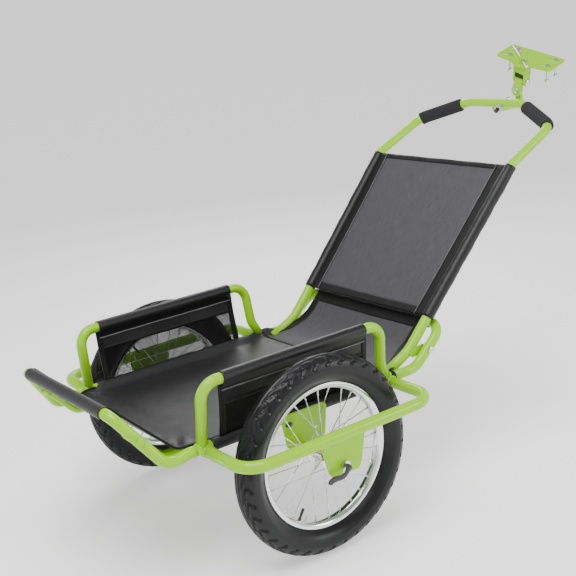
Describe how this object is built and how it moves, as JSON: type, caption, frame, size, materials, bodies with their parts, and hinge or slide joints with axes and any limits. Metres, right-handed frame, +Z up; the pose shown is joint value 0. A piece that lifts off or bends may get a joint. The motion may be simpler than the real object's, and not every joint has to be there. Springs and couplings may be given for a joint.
{
  "type": "bike cargo trailer",
  "caption": "Two-wheeled bicycle cargo trailer: fabric bed between low cloth walls on a bent tube frame, with a folding handle tongue and a rack hitch.",
  "frame": {"origin": "on the floor under the middle of the whole trailer", "axes": "+X runs forward from the bed's front lip along the tongue to the hitch, +Y to the left wheel and +Z up"},
  "size_m": [1.3941, 0.7732, 0.8835],
  "materials": {
    "green_paint": "glossy yellow-green powder coat",
    "coated_cloth": "black coated cloth with a soft sheen",
    "mesh_cloth": "dark grey woven mesh",
    "tyre_rubber": "matt black rubber",
    "grip_foam": "matt black foam",
    "chrome_plate": "polished",
    "zinc_steel": "bright zinc plate",
    "black_plastic": "black, slightly glossy",
    "black_rubber": "matt black"
  },
  "bodies": {
    "chassis": {"front_lip_tube": "green_paint", "side_tube_left": "green_paint", "side_tube_right": "green_paint", "rear_loop_tube": "green_paint", "wall_hoop_left": "green_paint", "wall_hoop_right": "green_paint", "wheel_guard_left": "green_paint", "wheel_guard_right": "green_paint", "inner_bracket_left": "green_paint", "inner_bracket_right": "green_paint", "outer_axle_plate_left": "green_paint", "outer_axle_plate_right": "green_paint", "axle_left": "zinc_steel", "axle_right": "zinc_steel", "axle_cone_inner_left": "zinc_steel", "axle_cone_inner_right": "zinc_steel", "axle_cone_outer_left": "zinc_steel", "axle_cone_outer_right": "zinc_steel", "bed_fabric": "coated_cloth", "rear_sling": "mesh_cloth", "wall_fabric_left": "coated_cloth", "wall_fabric_right": "coated_cloth", "tongue_bolt_left": "zinc_steel", "tongue_bolt_right": "zinc_steel", "stand_bolt_left": "zinc_steel", "stand_bolt_right": "zinc_steel"},
    "wheel_left": {"tyre_left": "tyre_rubber", "rim_left": "chrome_plate", "spoked_hub_left": "chrome_plate", "valve_left": "black_plastic"},
    "wheel_right": {"tyre_right": "tyre_rubber", "rim_right": "chrome_plate", "spoked_hub_right": "chrome_plate", "valve_right": "black_plastic"},
    "lever_left": {"quick_release_lever_left": "black_plastic"},
    "lever_right": {"quick_release_lever_right": "black_plastic"},
    "tongue": {"tongue_tube": "green_paint", "tongue_ear_left": "green_paint", "tongue_ear_right": "green_paint", "mesh_panel": "mesh_cloth", "grip_left": "grip_foam", "grip_right": "grip_foam", "plunger_hexagon": "zinc_steel", "hitch_bracket": "green_paint", "hitch_dome_nut": "zinc_steel", "roll_bolt": "zinc_steel"},
    "knob": {"plunger_knob": "black_plastic"},
    "link": {"hitch_link": "green_paint"},
    "fork": {"hitch_fork": "green_paint", "fork_pad": "black_rubber", "pitch_bolt": "zinc_steel", "swivel_rod": "zinc_steel"},
    "rack": {"rack_plate": "green_paint", "clamp_bolt_1": "zinc_steel", "clamp_bolt_2": "zinc_steel", "clamp_bolt_3": "zinc_steel", "clamp_bolt_4": "zinc_steel"},
    "stand": {"stand_tube": "green_paint", "stand_cap_left": "black_plastic", "stand_cap_right": "black_plastic"}
  },
  "joints": [
    {"name": "wheel_left_spin", "type": "hinge", "parent": "chassis", "child": "wheel_left", "pos_m": [-0.30699, 0.2985, 0.20254], "axis": [0, 1, 0], "continuous": true},
    {"name": "wheel_right_spin", "type": "hinge", "parent": "chassis", "child": "wheel_right", "pos_m": [-0.30699, -0.2985, 0.20254], "axis": [0, 1, 0], "continuous": true},
    {"name": "quick_release_left_turn", "type": "hinge", "parent": "chassis", "child": "lever_left", "pos_m": [-0.30699, 0.3791, 0.20254], "axis": [0.4478, 0, -0.8942], "range_deg": [0, 170]},
    {"name": "quick_release_right_turn", "type": "hinge", "parent": "chassis", "child": "lever_right", "pos_m": [-0.30699, -0.3791, 0.20254], "axis": [-0.4478, 0, 0.8942], "range_deg": [0, 170]},
    {"name": "tongue_fold", "type": "hinge", "parent": "chassis", "child": "tongue", "pos_m": [0.04902, 0, 0.30342], "axis": [0, -1, 0], "range_deg": [0, 105]},
    {"name": "plunger_pull", "type": "slide", "parent": "tongue", "child": "knob", "axis": [-0.8131, 0, -0.5821], "range_m": [0, 0.006]},
    {"name": "hitch_roll", "type": "hinge", "parent": "tongue", "child": "link", "pos_m": [0.61752, 0, 0.77654], "axis": [1, 0, 0], "range_deg": [-20, 20]},
    {"name": "hitch_pitch", "type": "hinge", "parent": "link", "child": "fork", "pos_m": [0.62601, -0.00742, 0.79936], "axis": [0, 0.9511, 0.309], "range_deg": [-25, 25]},
    {"name": "hitch_swivel", "type": "hinge", "parent": "fork", "child": "rack", "pos_m": [0.61567, -0.02127, 0.84199], "axis": [-0.225, -0.3011, 0.9267], "range_deg": [-75, 75]},
    {"name": "stand_fold", "type": "hinge", "parent": "chassis", "child": "stand", "pos_m": [-0.64953, 0, 0.32154], "axis": [0, 1, 0], "range_deg": [0, 75]}
  ]
}
